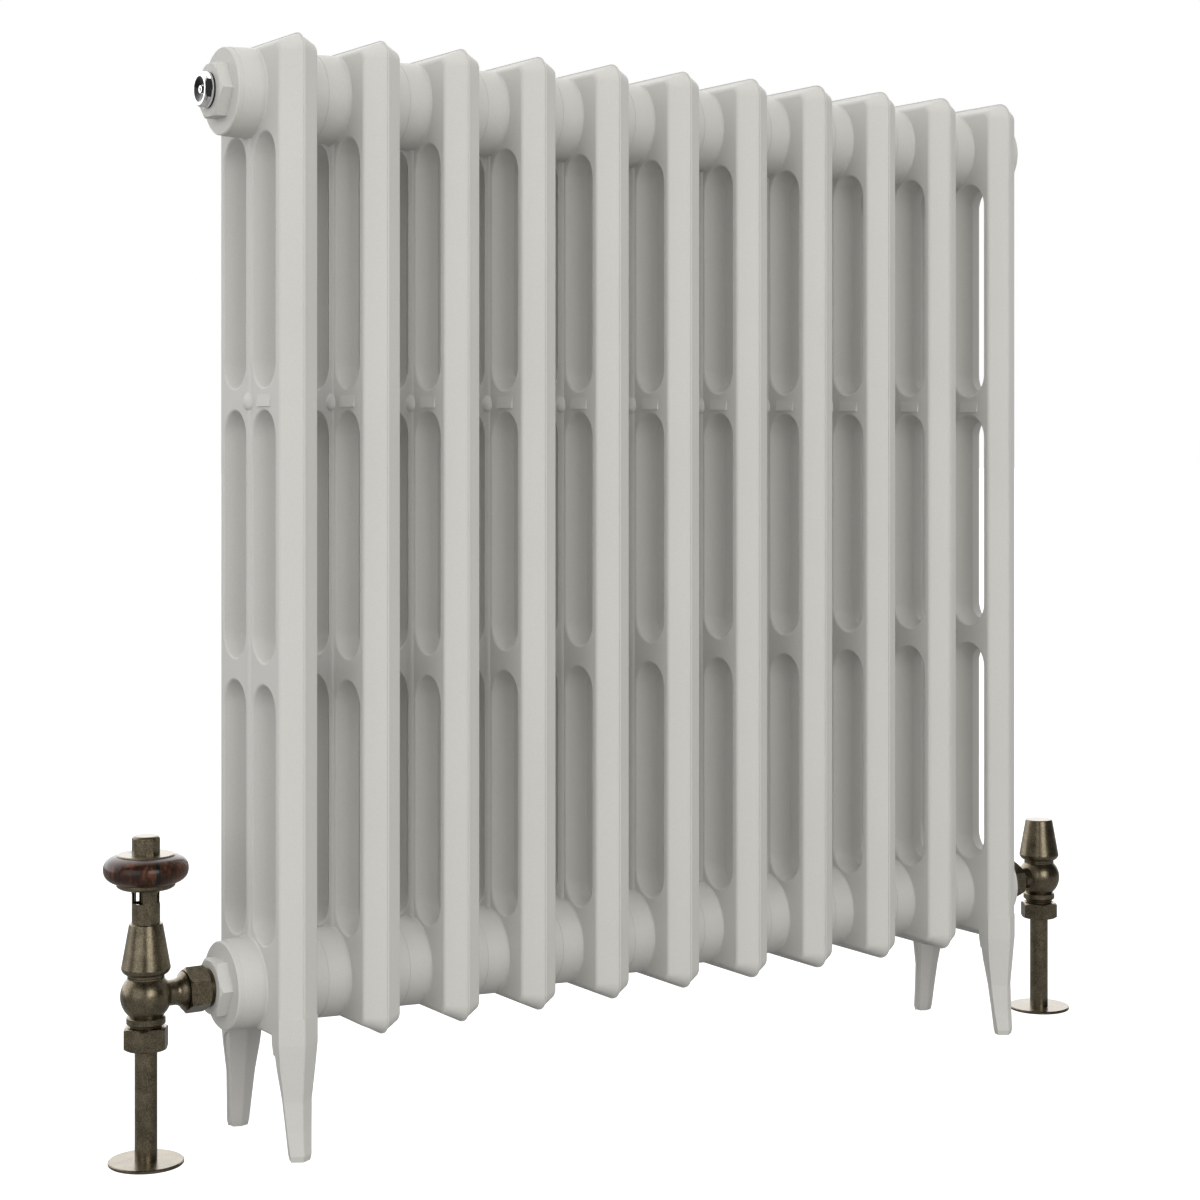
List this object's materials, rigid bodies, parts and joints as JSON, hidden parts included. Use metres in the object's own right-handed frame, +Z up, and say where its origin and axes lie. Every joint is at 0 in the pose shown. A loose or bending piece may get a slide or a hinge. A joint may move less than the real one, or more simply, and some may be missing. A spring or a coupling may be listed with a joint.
{
  "type": "cast iron column radiator",
  "caption": "Free-standing painted cast iron column radiator with end feet, a chrome air vent, a thermostatic valve with a wooden wheel and a lockshield valve on floor pipes.",
  "frame": {"origin": "on the floor, under the middle of the row of sections and midway between the front and rear seams", "axes": "+X along the row of sections, from the thermostatic valve to the lockshield valve; +Y from the front towards the wall; +Z up"},
  "size_m": [0.8588, 0.116, 0.758],
  "materials": {
    "radiator_paint": "satin off-white paint over sand-cast iron, with a fine grain",
    "nipple_iron": "machined malleable iron",
    "painted_gasket": "thin fibre gasket, its edge painted over with the sections",
    "vent_chrome": "polished chrome plate",
    "seal_rubber": "black nitrile rubber",
    "antique_brass": "antique bronzed brass, satin",
    "plain_brass": "machined brass",
    "spring_steel": "stainless steel",
    "varnished_wood": "dark figured hardwood under gloss varnish"
  },
  "bodies": {
    "radiator": {"air_vent_body": "vent_chrome", "blank_plug": "radiator_paint", "compression_nut_left": "antique_brass", "compression_nut_right": "antique_brass", "compression_olives": "plain_brass", "end_bush_gaskets": "painted_gasket", "end_bush_lower_left": "radiator_paint", "end_bush_lower_right": "radiator_paint", "end_bush_upper_left": "radiator_paint", "end_bush_upper_right": "radiator_paint", "hub_gaskets_lower": "painted_gasket", "hub_gaskets_upper": "painted_gasket", "hub_nipples_lower": "nipple_iron", "hub_nipples_upper": "nipple_iron", "lockshield_bonnet": "plain_brass", "lockshield_gland_nut": "plain_brass", "lockshield_packing_ring": "seal_rubber", "lockshield_valve_body": "antique_brass", "radiator_tail_left": "plain_brass", "radiator_tail_right": "plain_brass", "section_01": "radiator_paint", "section_02": "radiator_paint", "section_03": "radiator_paint", "section_04": "radiator_paint", "section_05": "radiator_paint", "section_06": "radiator_paint", "section_07": "radiator_paint", "section_08": "radiator_paint", "section_09": "radiator_paint", "section_10": "radiator_paint", "section_11": "radiator_paint", "supply_pipe_left": "antique_brass", "supply_pipe_right": "antique_brass", "tail_seal_rings": "seal_rubber", "thermostatic_gland_insert": "plain_brass", "thermostatic_head_shroud": "antique_brass", "thermostatic_hub_guide": "plain_brass", "thermostatic_pin_seal": "seal_rubber", "thermostatic_return_spring": "spring_steel", "thermostatic_sensor_cage": "antique_brass", "thermostatic_valve_body": "antique_brass", "union_nut_left": "antique_brass", "union_nut_right": "antique_brass", "vent_and_plug_seal_rings": "seal_rubber"},
    "thermostatic_wheel": {"wheel_hub": "plain_brass", "wheel_retaining_clip": "spring_steel", "wheel_lower_disc": "antique_brass", "wheel_wood_ring": "varnished_wood", "wheel_top_plate": "antique_brass", "wheel_crown": "antique_brass"},
    "thermostatic_plunger": {"thermostatic_sensor_capsule": "plain_brass", "thermostatic_valve_pin": "spring_steel", "thermostatic_disc_washer": "seal_rubber"},
    "lockshield_spindle": {"lockshield_spindle": "plain_brass"},
    "lockshield_plug": {"lockshield_plug": "plain_brass", "lockshield_plug_washer": "seal_rubber"},
    "lockshield_cap": {"lockshield_cap": "antique_brass"},
    "bleed_screw": {"bleed_screw": "vent_chrome"},
    "floor_collar_left": {"floor_collar_left": "antique_brass"},
    "floor_collar_right": {"floor_collar_right": "antique_brass"}
  },
  "joints": [
    {"name": "wheel_turn", "type": "hinge", "parent": "radiator", "child": "thermostatic_wheel", "pos_m": [-0.4041, 0, 0.19], "axis": [0, 0, 1], "range_deg": [-300, 0]},
    {"name": "plunger_travel", "type": "slide", "parent": "radiator", "child": "thermostatic_plunger", "axis": [0, 0, 1], "range_m": [-0.002, 0], "deforming": ["thermostatic_return_spring"]},
    {"name": "lockshield_spindle_turn", "type": "hinge", "parent": "radiator", "child": "lockshield_spindle", "pos_m": [0.4012, 0, 0.13], "axis": [0, 0, 1], "range_deg": [-1080, 0]},
    {"name": "lockshield_plug_travel", "type": "slide", "parent": "radiator", "child": "lockshield_plug", "axis": [0, 0, 1], "range_m": [-0.003, 0]},
    {"name": "cap_pull_off", "type": "slide", "parent": "radiator", "child": "lockshield_cap", "axis": [0, 0, 1], "range_m": [0, 0.04]},
    {"name": "bleed_screw_turn", "type": "hinge", "parent": "radiator", "child": "bleed_screw", "pos_m": [-0.355, 0, 0.7214], "axis": [-1, 0, 0], "range_deg": [0, 360]},
    {"name": "collar_slide_left", "type": "slide", "parent": "radiator", "child": "floor_collar_left", "axis": [0, 0, 1], "range_m": [0, 0.07]},
    {"name": "collar_slide_right", "type": "slide", "parent": "radiator", "child": "floor_collar_right", "axis": [0, 0, 1], "range_m": [0, 0.07]}
  ],
  "couplings": [
    {"joint": "plunger_travel", "follows": "wheel_turn", "m_per_rad": 0.00038197},
    {"joint": "lockshield_spindle_turn", "follows": "lockshield_plug_travel", "rad_per_m": 6283.2}
  ]
}
